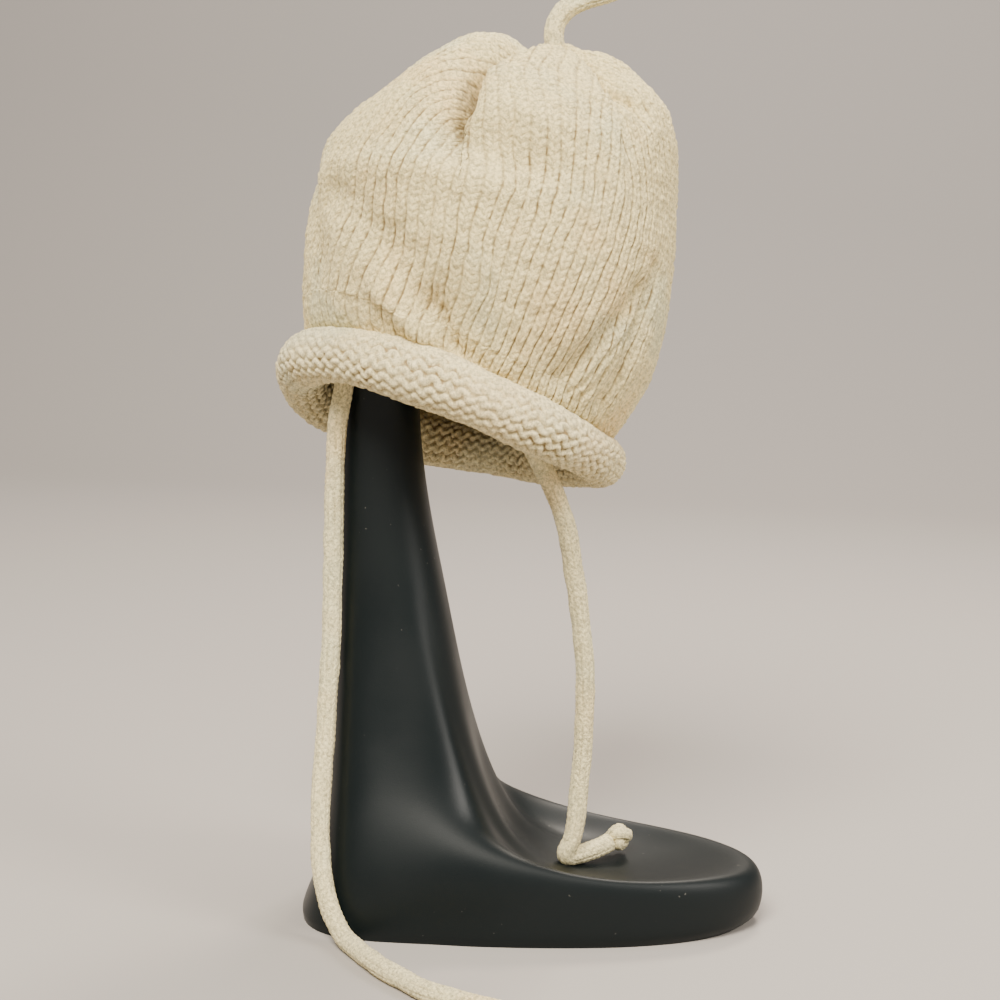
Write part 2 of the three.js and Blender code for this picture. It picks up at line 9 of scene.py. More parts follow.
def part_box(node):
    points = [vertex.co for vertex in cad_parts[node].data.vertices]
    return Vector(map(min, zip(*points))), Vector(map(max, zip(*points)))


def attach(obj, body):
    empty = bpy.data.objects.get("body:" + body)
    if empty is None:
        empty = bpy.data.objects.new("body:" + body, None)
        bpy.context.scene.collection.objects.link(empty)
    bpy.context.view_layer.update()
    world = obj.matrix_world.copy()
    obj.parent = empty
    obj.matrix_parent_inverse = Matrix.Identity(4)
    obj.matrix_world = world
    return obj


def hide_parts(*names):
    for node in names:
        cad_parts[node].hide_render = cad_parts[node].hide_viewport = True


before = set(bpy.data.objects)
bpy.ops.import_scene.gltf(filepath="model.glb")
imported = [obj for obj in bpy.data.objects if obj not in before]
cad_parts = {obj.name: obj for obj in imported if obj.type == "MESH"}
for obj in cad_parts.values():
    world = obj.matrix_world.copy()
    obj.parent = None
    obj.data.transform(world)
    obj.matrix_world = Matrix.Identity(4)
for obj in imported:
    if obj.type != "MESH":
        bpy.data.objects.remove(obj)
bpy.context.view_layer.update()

# Camera: the photograph's viewing angle, with its picture turned a little clockwise.
# Distances in all sections are millimetres from the floor under the foot's middle.
FOOT_MIDDLE = np.array([2.6104, -2.3159, 0])
CAMERA_PLACE = (-14, -800, 287)
CAMERA_TURN = 3.5
CAMERA_PITCH = 8.24
PICTURE_ROLL = 2.1
LENS_LENGTH = 71.57
camera = bpy.data.objects.new("camera", bpy.data.cameras.new("camera"))
camera.data.lens = LENS_LENGTH
camera.data.sensor_width = 36
camera.data.sensor_fit = "HORIZONTAL"
camera.data.clip_end = 30
swung = Matrix.Rotation(math.radians(CAMERA_TURN), 4, "Z")
stepped = Matrix.Translation(Vector(CAMERA_PLACE) / 1000)
tipped = Matrix.Rotation(math.radians(90 - CAMERA_PITCH), 4, "X")
rolled = Matrix.Rotation(math.radians(PICTURE_ROLL), 4, "Z")
camera.matrix_world = Matrix.Translation(Vector(FOOT_MIDDLE) / 1000) @ swung @ stepped @ tipped @ rolled
bpy.context.scene.collection.objects.link(camera)
bpy.context.scene.camera = camera

# Tie cords: two narrow knitted tubes, eight stitches round, that come out of the cap at its brim.
# The left one hangs beside the stand and lies on the floor, and the right one ends on the foot.
# They are of the cap's own fuzzy cream wool, and each ends in a knot.
CORD_DIAMETER = 7.2
CORD_WALES = 8
CORD_COLUMNS = 48
CORD_RING_STEP = 0.62
CORD_ROW_HEIGHT = 2.6
CORD_RELIEF = 0.7
CORD_PUFF = 0.15
CORD_UNEVENNESS = 0.25
CORD_TWIST = 0.12
LEFT_ROUTE = [
    (-75.6, -18.4, 222), (-76.7, -18.7, 214), (-78.5, -18.9, 203), (-79, -19, 190),
    (-79.2, -19.2, 173), (-79, -19.7, 154), (-78.8, -20.2, 134), (-78.6, -21.6, 115),
    (-78.8, -25, 95), (-79, -29, 77), (-79, -35, 58), (-78.4, -40.6, 43),
    (-76.8, -46.5, 29), (-73.4, -52, 17.5), (-69.4, -56, 9.5), (-65, -60.5, 4.6),
    (-59.6, -68, 3.7), (-53.4, -78, 3.7), (-46, -88, 3.7), (-38, -97, 3.7),
    (-28, -107, 3.7), (-15, -114.5, 3.7), (-3, -120, 3.7), (8, -127, 4.2),
    (14, -137, 6.1),
]
RIGHT_ROUTE = [
    (-3.4, -33.8, 204), (-1.3, -32.2, 199), (1.8, -29.8, 193), (6.6, -26, 183.5),
    (10.2, -22, 175), (14.2, -18, 163), (16.6, -14, 149.5), (19.2, -11, 136),
    (21.6, -8, 120), (23.6, -5, 103), (24.2, -3, 86), (24, -2, 69),
    (23.2, -2.8, 53), (22.6, -4, 40), (21.2, -5.6, 31.5), (19, -6.4, 26.4),
    (19.6, -5.2, 24.2), (23.6, -1.2, 23.8), (28.6, 3.4, 24.2), (33.2, 7.6, 25.1),
    (36.6, 10.7, 26.2),
]


def soft_noise(across, up, seed, wrap=256):
    """Smooth random values from -1 to 1, that repeat after `wrap` steps across and 256 up."""
    table = np.random.default_rng(seed).uniform(-1, 1, (256, wrap))
    column, row = np.floor(across).astype(int), np.floor(up).astype(int)
    x, y = across - column, up - row
    x, y = x * x * (3 - 2 * x), y * y * (3 - 2 * y)
    left, right = column % wrap, (column + 1) % wrap
    low, high = row % 256, (row + 1) % 256
    below = table[low, left] * (1 - x) + table[low, right] * x
    above = table[high, left] * (1 - x) + table[high, right] * x
    return below * (1 - y) + above * y


def stocking_stitch(wale, row):
    """The height of the knit's V face, from 0 in its grooves to 1 on the legs of the stitches."""
    off = np.abs(wale % 1 - 0.5)
    outside = np.clip((off - 0.22) / 0.28, 0, 1)
    rib = np.where(off > 0.22, 1 - outside**2.4, 1 - 0.35 * ((0.22 - off) / 0.22) ** 2)
    leg = np.sin(np.pi * ((row - 1.7 * off) % 1)) ** 0.7
    size = 0.88 + 0.12 * soft_noise(np.floor(wale) * 7.3, np.floor(row - 1.7 * off) * 5.7, 31)
    return rib * (0.48 + 0.52 * leg) * size


def smooth_through(points, steps):
    """Places on centripetal Catmull-Rom curves through rows of points, in equal steps from row to row."""
    p = np.concatenate([[2 * points[0] - points[1]], points, [2 * points[-1] - points[-2]]])
    gaps = np.maximum(np.linalg.norm(np.diff(p, axis=0), axis=-1, keepdims=True) ** 0.5, 1e-3)
    fine = []
    for i in range(1, len(p) - 2):
        before, here, after = gaps[i - 1:i + 2]
        step_in, step_on, step_out = p[i] - p[i - 1], p[i + 1] - p[i], p[i + 2] - p[i + 1]
        leave = step_in / before - (p[i + 1] - p[i - 1]) / (before + here) + step_on / here
        arrive = step_on / here - (p[i + 2] - p[i]) / (here + after) + step_out / after
        for t in np.arange(steps) / steps:
            between = (2 * t**3 - 3 * t**2 + 1) * p[i] + (3 * t**2 - 2 * t**3) * p[i + 1]
            fine.append(between + here * ((t**3 - 2 * t**2 + t) * leave + (t**3 - t**2) * arrive))
    return np.array(fine + [p[-2]])


def even_route(points, step):
    """Places an even step apart on a smooth curve through the points, and how far along each is."""
    fine = smooth_through(np.array(points, float), 24)
    run = np.concatenate([[0], np.cumsum(np.linalg.norm(np.diff(fine, axis=0), axis=1))])
    marks = np.linspace(0, run[-1], int(run[-1] / step) + 1)
    return np.stack([np.interp(marks, run, fine[:, axis]) for axis in range(3)], axis=1), marks


def unit(vectors):
    return vectors / np.linalg.norm(vectors, axis=-1, keepdims=True)


def untwisted_frames(line):
    """The heading and two directions square to it at each place of a line, carried on without twist."""
    heading = unit(np.gradient(line, axis=0))
    side = np.array([1.0, 0, 0]) if abs(heading[0][0]) < 0.8 else np.array([0, 1.0, 0])
    sides = []
    for way in heading:
        side = unit(side - way * (side @ way))
        sides.append(side)
    return heading, np.array(sides), np.cross(heading, sides)


def grid_piece(name, rings, stitches=None, height=None, ends=None, looped=False, edges=()):
    """A mesh through rings of equal counts. `ends` is "flat" to close them, `looped` joins last to first.
    `stitches` are the wale and row of each place, with one more column, `height` is 0 in the grooves,
    and `edges` are the rings that are sharp."""
    rows, sides, _ = rings.shape
    mesh = bpy.data.meshes.new(name)
    places = (rings.reshape(-1, 3) + FOOT_MIDDLE) / 1000
    index = np.arange(rows * sides).reshape(rows, sides)
    turned = np.roll(index, -1, axis=1)
    last = rows if looped else rows - 1
    following = np.roll(index, -1, axis=0)
    quads = np.stack([index, turned, np.roll(turned, -1, axis=0), following], axis=2)[:last].reshape(-1, 4)
    faces = quads.tolist()
    if ends == "flat":
        faces += [index[0][::-1].tolist(), index[-1].tolist()]
    mesh.from_pydata(places.tolist(), [], faces)
    mesh.shade_smooth()
    if edges:
        pairs = np.zeros(len(mesh.edges) * 2, int)
        mesh.edges.foreach_get("vertices", pairs)
        first, second = pairs.reshape(-1, 2).T // sides
        sharp = (first == second) & np.isin(first, edges)
        mesh.attributes.new("sharp_edge", "BOOLEAN", "EDGE").data.foreach_set("value", sharp)
    if stitches is not None:
        corner = stitches if looped else stitches[:rows]
        low, high = corner[:last], corner[1:last + 1]
        uv = np.stack([low[:, :-1], low[:, 1:], high[:, 1:], high[:, :-1]], axis=2).reshape(-1, 2)
        loops = np.zeros((len(mesh.loops), 2))
        loops[:len(uv)] = uv
        mesh.uv_layers.new(name="stitches").data.foreach_set("uv", loops.ravel())
    if height is not None:
        mesh.attributes.new("relief", "FLOAT", "POINT").data.foreach_set("value", height.ravel())
    piece = bpy.data.objects.new(name, mesh)
    bpy.context.scene.collection.objects.link(piece)
    return piece


def join(tree, kind, inputs, **settings):
    """A new node with its settings, and its inputs as values or as other nodes' outputs."""
    made = tree.nodes.new(kind)
    for key, value in settings.items():
        setattr(made, key, value)
    for key, value in inputs.items():
        if isinstance(value, bpy.types.NodeSocket):
            tree.links.new(value, made.inputs[key])
        else:
            made.inputs[key].default_value = value
    return made


def sums(tree, operation, first, second=0.0, third=0.0):
    return join(tree, "ShaderNodeMath", {0: first, 1: second, 2: third}, operation=operation).outputs[0]


def mixed(tree, factor, first, second, blend="MIX"):
    """A colour between two others."""
    made = join(tree, "ShaderNodeMix", {0: factor, 6: first, 7: second}, data_type="RGBA", blend_type=blend)
    return made.outputs[2]


def ranged(tree, value, low, high, to_low=0.0, to_high=1.0):
    inputs = {0: value, 1: low, 2: high, 3: to_low, 4: to_high}
    return join(tree, "ShaderNodeMapRange", inputs, interpolation_type="SMOOTHSTEP").outputs[0]


def noise(tree, place, scale, detail=2.0, roughness=0.5):
    inputs = {"Vector": place, "Scale": scale, "Detail": detail, "Roughness": roughness}
    return join(tree, "ShaderNodeTexNoise", inputs).outputs["Fac"]


def shade_group(name, inputs, outputs):
    """An empty shader node group with named inputs and outputs."""
    tree = bpy.data.node_groups.new(name, "ShaderNodeTree")
    for label, kind in inputs:
        tree.interface.new_socket(label, in_out="INPUT", socket_type=kind)
    for label, kind in outputs:
        tree.interface.new_socket(label, in_out="OUTPUT", socket_type=kind)
    return tree, tree.nodes.new("NodeGroupInput").outputs, tree.nodes.new("NodeGroupOutput").inputs


# The wool's look: tints in soft patches, broken grooves darkened with painted shade, the yarn's strands and
# loose fuzz.
wool_group, given, put = shade_group(
    "knitted wool",
    [
        ("Place", "NodeSocketVector"), ("Stitch", "NodeSocketVector"), ("Relief", "NodeSocketFloat"),
        ("Cream", "NodeSocketColor"), ("Warm Tint", "NodeSocketColor"), ("Cool Tint", "NodeSocketColor"),
        ("Groove", "NodeSocketColor"), ("Groove Strength", "NodeSocketFloat"),
        ("V Strength", "NodeSocketFloat"),
    ],
    [("Color", "NodeSocketColor"), ("Height", "NodeSocketFloat")],
)
patches = noise(wool_group, given["Place"], 28, 3)
warm = ranged(wool_group, patches, 0.52, 0.7, 0, 0.75)
cool = ranged(wool_group, noise(wool_group, given["Place"], 23, 2), 0.54, 0.7, 0, 0.7)
flecks = noise(wool_group, given["Place"], 700, 5, 0.8)
tint = mixed(wool_group, warm, given["Cream"], given["Warm Tint"])
tint = mixed(wool_group, cool, tint, given["Cool Tint"])
light = mixed(wool_group, ranged(wool_group, flecks, 0.34, 0.62, 0.46, 1.0), (0, 0, 0, 1), (1, 1, 1, 1))
tint = mixed(wool_group, 1.0, tint, light, "MULTIPLY")
broken = ranged(wool_group, noise(wool_group, given["Place"], 300, 3), 0.36, 0.6, 0.3, 1)
patchy = ranged(wool_group, noise(wool_group, given["Place"], 32, 2), 0.36, 0.56, 0.45, 1)
broken = sums(wool_group, "MULTIPLY", broken, patchy)
# Painted shade: where the relief is low, in the grooves between stitches and in deep folds, the colour is
# mixed towards the dark groove colour in broken patches.
depth = ranged(wool_group, given["Relief"], 0.62, 0.08, 0, 1)
depth = sums(wool_group, "MULTIPLY", sums(wool_group, "MULTIPLY", depth, broken), given["Groove Strength"])
tint = mixed(wool_group, depth, tint, given["Groove"])
stitch = join(wool_group, "ShaderNodeSeparateXYZ", {0: given["Stitch"]}).outputs
across_wale = sums(wool_group, "FRACT", stitch[0])
from_middle = sums(wool_group, "ABSOLUTE", sums(wool_group, "SUBTRACT", across_wale, 0.5))
phase = sums(wool_group, "FRACT", sums(wool_group, "MULTIPLY_ADD", from_middle, -1.7, stitch[1]))
# Painted shade: the gaps between the stitches' legs are mixed towards the groove colour, in random patches.
gap = sums(wool_group, "ABSOLUTE", sums(wool_group, "SUBTRACT", phase, 0.5))
gap = sums(wool_group, "MULTIPLY", ranged(wool_group, gap, 0.3, 0.5), given["V Strength"])
gap_shade_patches = ranged(wool_group, noise(wool_group, given["Place"], 260, 3, 0.7), 0.44, 0.62)
tint = mixed(wool_group, sums(wool_group, "MULTIPLY", gap, gap_shade_patches), tint, given["Groove"])
strands = noise(wool_group, given["Stitch"], 3.2, 4, 0.65)
fuzz = noise(wool_group, given["Place"], 1500, 5, 0.75)
height = sums(wool_group, "MULTIPLY_ADD", strands, 0.5, sums(wool_group, "MULTIPLY", fuzz, 0.7))
height = sums(wool_group, "MULTIPLY_ADD", gap, -0.7, height)
wool_group.links.new(tint, put["Color"])
wool_group.links.new(height, put["Height"])


def wool_material(name, cream, warm_tint, cool_tint, groove, groove_strength, v_strength):
    """Matt, fuzzy wool with the knitted wool group in its colours; the groove colour is painted shade."""
    material = bpy.data.materials.new(name)
    material.use_nodes = True
    tree = material.node_tree
    shader = tree.nodes["Principled BSDF"]
    place = join(tree, "ShaderNodeTexCoord", {}).outputs["Object"]
    stitch = join(tree, "ShaderNodeUVMap", {}, uv_map="stitches").outputs["UV"]
    relief = join(tree, "ShaderNodeAttribute", {}, attribute_name="relief").outputs["Fac"]
    inputs = {
        "Place": place, "Stitch": stitch, "Relief": relief,
        "Cream": cream, "Warm Tint": warm_tint, "Cool Tint": cool_tint,
        "Groove": groove, "Groove Strength": groove_strength, "V Strength": v_strength,
    }
    wool = tree.nodes.new("ShaderNodeGroup")
    wool.node_tree = wool_group
    for key, value in inputs.items():
        if isinstance(value, bpy.types.NodeSocket):
            tree.links.new(value, wool.inputs[key])
        else:
            wool.inputs[key].default_value = value
    bumps = {"Height": wool.outputs["Height"], "Strength": 0.9, "Distance": 0.001}
    bump = join(tree, "ShaderNodeBump", bumps)
    tree.links.new(wool.outputs["Color"], shader.inputs["Base Color"])
    tree.links.new(bump.outputs["Normal"], shader.inputs["Normal"])
    shader.inputs["Roughness"].default_value = 0.95
    shader.inputs["Specular IOR Level"].default_value = 0.15
    shader.inputs["Sheen Weight"].default_value = 0.15
    shader.inputs["Sheen Roughness"].default_value = 0.6
    return material


tie_wool = wool_material(
    "tie wool", cream=(1, 0.86, 0.48, 1), warm_tint=(1, 0.78, 0.4, 1), cool_tint=(0.93, 0.87, 0.52, 1),
    groove=(0.3, 0.22, 0.1, 1), groove_strength=0.4, v_strength=0.18,
)


def knitted_cord(name, route, material):
    """A knitted tube along a route. Returns it with its ring centres in metres and its length."""
    line, marks = even_route(route, CORD_RING_STEP)
    _, side, other = untwisted_frames(line)
    turn = np.linspace(0, 2 * math.pi, CORD_COLUMNS + 1)
    wale, row = np.meshgrid(turn / (2 * math.pi) * CORD_WALES, marks / CORD_ROW_HEIGHT)
    wale = wale + CORD_TWIST * row / CORD_WALES
    relief = stocking_stitch(wale, row)
    uneven = CORD_UNEVENNESS * soft_noise(wale * 0.7, row * 0.35, 3)
    out = CORD_DIAMETER / 2 + CORD_PUFF + CORD_RELIEF * (relief - 0.5) + uneven
    out, turn = out[:, :-1, None], turn[None, :-1, None]
    rings = line[:, None] + out * (np.cos(turn) * side[:, None] + np.sin(turn) * other[:, None])
    stitches = np.stack([wale, row], axis=2)
    piece = grid_piece(name, rings, stitches, relief[:, :-1], ends="flat")
    piece.data.materials.append(material)
    path = [tuple((place + FOOT_MIDDLE) / 1000) for place in line]
    return piece, path, marks[-1] / 1000


tie_left, left_path, left_length = knitted_cord("tie_left_knit", LEFT_ROUTE, tie_wool)
tie_right, right_path, right_length = knitted_cord("tie_right_knit", RIGHT_ROUTE, tie_wool)

# Knots: each cord's end is tied in one overhand knot and pulled tight into a small firm ball.
KNOT_SIZE = 11.5
KNOT_STRAND = 2.7
KNOT_RINGS = 150
KNOT_COLUMNS = 24
KNOT_HEIGHT = 2.2
KNOT_RINGS_A_STITCH = 5.0
KNOT_RELIEF = 0.5


def pulled_knot(name, place, heading, material):
    """A cord's strand along a tight trefoil, centred half a knot's length past the place."""
    t = np.linspace(0, 2 * math.pi, KNOT_RINGS, endpoint=False)
    x, y = np.sin(t) + 2 * np.sin(2 * t), np.cos(t) - 2 * np.cos(2 * t)
    loop = np.stack([x, y, -KNOT_HEIGHT * np.sin(3 * t)], axis=1)
    loop *= (KNOT_SIZE / 2 - KNOT_STRAND) / 3
    along = unit(np.roll(loop, -1, axis=0) - np.roll(loop, 1, axis=0))
    away = unit(loop - along * np.sum(loop * along, axis=1, keepdims=True))
    other = np.cross(along, away)
    turn = np.linspace(0, 2 * math.pi, KNOT_COLUMNS + 1)
    rows = np.arange(KNOT_RINGS + 1) / KNOT_RINGS_A_STITCH
    wale, row = np.meshgrid(turn / (2 * math.pi) * CORD_WALES, rows)
    relief = stocking_stitch(wale, row)
    out = (KNOT_STRAND + KNOT_RELIEF * (relief - 0.7))[:-1, :-1, None]
    turn = turn[None, :-1, None]
    rings = loop[:, None] + out * (np.cos(turn) * away[:, None] + np.sin(turn) * other[:, None])
    facing = np.array(Vector((0, 0, 1)).rotation_difference(Vector(heading)).to_matrix())
    rings = rings @ facing.T + place + heading * KNOT_SIZE / 2
    stitches = np.stack([wale, row], axis=2)
    piece = grid_piece(name, rings, stitches, relief[:-1, :-1], looped=True)
    piece.data.materials.append(material)
    return piece


def end_of(path):
    tip, before = np.array(path[-1]) * 1000 - FOOT_MIDDLE, np.array(path[-3]) * 1000 - FOOT_MIDDLE
    return tip, unit(tip - before)


tie_left_knot = pulled_knot("tie_left_knot_knit", *end_of(left_path), tie_wool)
tie_right_knot = pulled_knot("tie_right_knot_knit", *end_of(right_path), tie_wool)
for cord, knot, path, length in (
    (tie_left, tie_left_knot, left_path, left_length),
    (tie_right, tie_right_knot, right_path, right_length),
):
    for piece, node in ((cord, cord.name.replace("_knit", "")), (knot, knot.name.replace("_knit", ""))):
        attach(piece, "root")
        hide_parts(node)

# The cap: one soft bag knitted in stocking stitch, about a hundred stitches round, of thick fuzzy wool.
# It is gathered at the crown, where the spare cloth falls into lobes with deep creases between them.
# Its wall is one cloth, made here as three bands with the lining inside each.
BRIM_HEIGHT = 204
BRIM_OFFSET = -35
BRIM_WIDTH = 126
BRIM_DEPTH = 120
BRIM_ROLL = 22.5
BRIM_LEAN = 14.3
BRIM_TIP = 18
BRIM_WAVE = 3.3
CAP_WIDTH = 150
CAP_RISE = 150
CAP_DEPTH = 140
SIDE_LENGTH = 175
CAP_WALL = 3
CAP_UNEVENNESS = 0.45
WALE_WIDTH = 4.55
ROLL_OVERLAP = 4
CAP_OVAL_POWER = 2.25
FOLD_DEPTH = 10
CAP_WALES = 100
CAP_COLUMNS = 800
CAP_ROW_HEIGHT = 3.1
CAP_RELIEF = 1.1
CAP_FOOT = -0.04
CAP_ROWS = 283
LINING_ROWS = 37
# Climb, then the left, right, near and far edges: across in cap widths, deep in depths, and up in rises.
BAG_LEVELS = np.array([
    [0.05, -0.403, 0.273, 0.473, 0.013, -0.439, 0.247, 0.45, 0.013],
    [0.13, -0.404, 0.367, 0.522, 0.1, -0.464, 0.34, 0.471, 0.1],
    [0.22, -0.397, 0.473, 0.553, 0.2, -0.482, 0.44, 0.493, 0.207],
    [0.32, -0.381, 0.587, 0.571, 0.32, -0.486, 0.547, 0.514, 0.327],
    [0.42, -0.353, 0.687, 0.58, 0.44, -0.479, 0.647, 0.521, 0.447],
    [0.5, -0.293, 0.767, 0.58, 0.547, -0.461, 0.72, 0.521, 0.547],
    [0.58, -0.22, 0.827, 0.578, 0.64, -0.432, 0.787, 0.5, 0.633],
    [0.66, -0.153, 0.893, 0.573, 0.733, -0.386, 0.84, 0.457, 0.72],
    [0.74, -0.077, 0.95, 0.547, 0.823, -0.329, 0.887, 0.393, 0.793],
    [0.82, 0.007, 0.993, 0.487, 0.893, -0.264, 0.927, 0.307, 0.86],
    [0.89, 0.087, 1.01, 0.42, 0.95, -0.2, 0.957, 0.207, 0.913],
    [0.95, 0.16, 1, 0.353, 0.98, -0.136, 0.977, 0.1, 0.953],
    [1, 0.203, 0.99, 0.283, 0.99, -0.086, 0.99, 0, 0.99],
])
# From one angle and climb to another: the width before and after the line, and how deep it pulls in.
FOLDS = [
    (-104, 0.95, -105, 0.7, 0.08, 0.022, 1.15),
    (-105, 0.7, -101, 0.58, 0.07, 0.022, 1.2),
    (-101, 0.58, -97, 0.49, 0.06, 0.03, 0.4),
    (-100, 0.48, -78, 0.46, 0.065, 0.065, 0.45),
    (-138, 0.8, -132, 0.58, 0.08, 0.08, -0.3),
    (-90, 0.86, -86, 0.6, 0.045, 0.07, -0.35),
    (-64, 0.94, -60, 0.77, 0.025, 0.04, 0.45),
    (-60, 0.77, -45, 0.71, 0.022, 0.035, 0.5),
    (10, 0.95, 14, 0.74, 0.04, 0.04, 0.7),
    (78, 0.94, 72, 0.68, 0.05, 0.05, 0.8),
    (146, 0.94, 140, 0.7, 0.045, 0.045, 0.8),
    (-150, 0.32, -76, 0.43, 0.04, 0.04, -0.22),
    (-142, 0.27, -114, 0.19, 0.05, 0.055, 0.28),
    (-114, 0.19, -97, 0.1, 0.05, 0.06, 0.22),
    (-97, 0.09, -89, 0, 0.03, 0.045, 0.36),
    (-114, 0.09, -98, 0.03, 0.034, 0.034, -0.4),
    (-56, 0.06, -34, 0.3, 0.03, 0.03, 0.4),
    (-34, 0.05, -26, 0.36, 0.028, 0.028, 0.25),
    (-168, 0.34, -146, 0.12, 0.05, 0.05, 0.22),
    (70, 0.1, 110, 0.34, 0.06, 0.06, 0.35),
]
# Narrow creases and small pleats of the cloth that sharpen the folds, in the same form.
CREASES = [
    (-104.5, 0.95, -105.5, 0.7, 0.03, 0.01, 0.5),
    (-105.5, 0.7, -100, 0.55, 0.032, 0.01, 0.5),
    (-96, 0.86, -98, 0.73, 0.008, 0.006, 0.3),
    (-63, 0.9, -59.5, 0.77, 0.007, 0.01, 0.45),
    (-59.5, 0.77, -48, 0.715, 0.006, 0.01, 0.45),
    (-55, 0.79, -45, 0.74, 0.006, 0.006, 0.3),
    (-112, 0.8, -109, 0.74, 0.006, 0.006, 0.2),
    (-117, 0.8, -112, 0.76, 0.006, 0.006, 0.2),
    (12, 0.94, 15, 0.76, 0.012, 0.012, 0.5),
    (77, 0.93, 73, 0.72, 0.012, 0.012, 0.5),
    (145, 0.93, 141, 0.74, 0.012, 0.012, 0.5),
    (-94, 0.09, -88.5, 0, 0.008, 0.012, 0.2),
    (-118, 0.88, -108, 0.86, 0.006, 0.006, 0.12),
    (-119, 0.82, -108, 0.8, 0.006, 0.006, 0.12),
    (-50, 0.03, -30, 0.26, 0.008, 0.008, 0.16),
    (-45, 0.03, -27, 0.28, 0.008, 0.008, 0.14),
]
# Where one lobe's edge leans out over the crease beside it, in the same form.
LIPS = [
    (-97, 0.93, -98, 0.72, 0.03, 0.09, 0.5),
    (-98, 0.72, -96, 0.53, 0.035, 0.1, 0.75),
    (-66, 0.9, -63, 0.78, 0.06, 0.025, -0.25),
]
# How many degrees the cloth is drawn round, in rows from the brim up and columns round the near side.
DRAWN_ANGLES = np.arange(-170, -9, 20)
DRAWN_CLIMBS = np.arange(0, 0.91, 0.15)
DRAWN = np.array([
    [-3.6, -4.4, -3.6, -0.1, 1.0, 0.3, -0.3, -0.4, -0.1],
    [-3.2, -3.8, -1.2, 2.1, 1.4, 1.1, 0.4, 0.3, 0.6],
    [-0.9, -0.3, 1.3, 0.4, 0.1, 2.0, 1.9, 2.0, 2.6],
    [0.0, 0.3, 0.7, 0.6, 1.8, 4.2, 4.6, 4.7, 4.4],
    [0.1, 0.1, 0.2, 0.2, 0.2, 1.3, 2.6, 2.7, 2.5],
    [0.0, 0.0, 0.0, -0.1, -0.7, -1.3, -0.4, 0.4, 0.7],
    [0.0, 0.0, -0.1, -0.1, -0.4, -0.8, -0.5, -0.1, 0.1],
])
# The creases between the crown's lobes, where wales run in and end.
LOBE_EDGES = np.radians([-214, -104, -60, 12, 75, 146])

brim_across = np.array([math.cos(math.radians(BRIM_LEAN)), 0, -math.sin(math.radians(BRIM_LEAN))])
brim_tip = np.array([0, math.cos(math.radians(BRIM_TIP)), -math.sin(math.radians(BRIM_TIP))])
cap_axis = unit(np.cross(brim_across, brim_tip))
brim_back = np.cross(cap_axis, brim_across)
brim_centre = np.array([BRIM_OFFSET, 0, BRIM_HEIGHT])


def brim_line(angle):
    """The middle of the brim's roll at each angle round the cap."""
    angle = np.asarray(angle)[..., None]
    ring = brim_across * BRIM_WIDTH / 2 * np.cos(angle) + brim_back * BRIM_DEPTH / 2 * np.sin(angle)
    return brim_centre + ring + cap_axis * BRIM_WAVE * np.sin(2 * angle)


def bag_edges(climb):
    """The bag's edges at each climb, on a smooth curve through the levels."""
    known, values = BAG_LEVELS[:, 0], BAG_LEVELS[:, 1:]
    part = np.clip(np.searchsorted(known, climb, side="right") - 1, 0, len(known) - 2)
    here, after = known[part], known[part + 1]
    earlier = np.where(part > 0, known[part - 1], 2 * here - after)
    later = np.where(part < len(known) - 2, known[np.minimum(part + 2, len(known) - 1)], 2 * after - here)
    half = (after - here) / 2
    before_pull = (half / (here - earlier))[:, None]
    after_pull = (half / (later - after))[:, None]
    p = ((climb - here) / (after - here))[:, None]
    before_row = values[np.where(part > 0, part - 1, 1)]
    after_row = values[np.where(part < len(known) - 2, np.minimum(part + 2, len(known) - 1), part)]
    before_share = before_pull * (-(p**3) + 2 * p**2 - p)
    here_share = (1 + before_pull) * p**3 + (-1.5 - 2 * before_pull) * p**2 + (-0.5 + before_pull) * p + 1
    next_share = (-1 - after_pull) * p**3 + (1.5 + after_pull) * p**2 + 0.5 * p
    after_share = after_pull * (p**3 - p**2)
    known_rows = here_share * values[part] + next_share * values[part + 1]
    return before_share * before_row + known_rows + after_share * after_row


def pushed_oval(value, power):
    return np.sign(value) * np.abs(value) ** (2 / power)


def level_rings(climb, angle):
    """The smooth bag at each climb and angle above its first level."""
    left_x, left_z, right_x, right_z, near_y, near_z, far_y, far_z = bag_edges(climb).T[:, :, None]
    across, deep = pushed_oval(np.cos(angle), CAP_OVAL_POWER), pushed_oval(np.sin(angle), CAP_OVAL_POWER)
    bow = deep**2 * ((near_z + far_z) / 2 - (left_z + right_z) / 2)
    x = CAP_WIDTH * ((left_x + right_x) / 2 + across * (right_x - left_x) / 2)
    y = CAP_DEPTH * ((near_y + far_y) / 2 + deep * (far_y - near_y) / 2)
    up = (left_z + right_z) / 2 + across * (right_z - left_z) / 2 + deep * (far_z - near_z) / 2 + bow
    z = CAP_RISE * up + BRIM_WAVE * np.sin(2 * angle) * (1 - climb[:, None]) ** 2
    return brim_centre + np.stack([x, y, z], axis=2)


def bag_rings(climb, angle):
    """The smooth bag. Below its first level it goes straight on, and bends down into the brim's roll."""
    first = BAG_LEVELS[0, 0]
    rings = level_rings(np.maximum(climb[:, 0], first), angle)
    lowest, above = (level_rings(np.full(len(climb), level), angle) for level in (first, first + 0.02))
    down = lowest - above
    low = np.clip((first - climb) / (first - CAP_FOOT), 0, 1)[:, :, None]
    in_roll = brim_line(angle) + cap_axis * (BRIM_ROLL / 2 - ROLL_OVERLAP)
    under = rings + down * (rings - in_roll)[:, :, 2:] * 0.7 / -down[:, :, 2:]
    return (1 - low) ** 2 * rings + 2 * low * (1 - low) * under + low**2 * in_roll


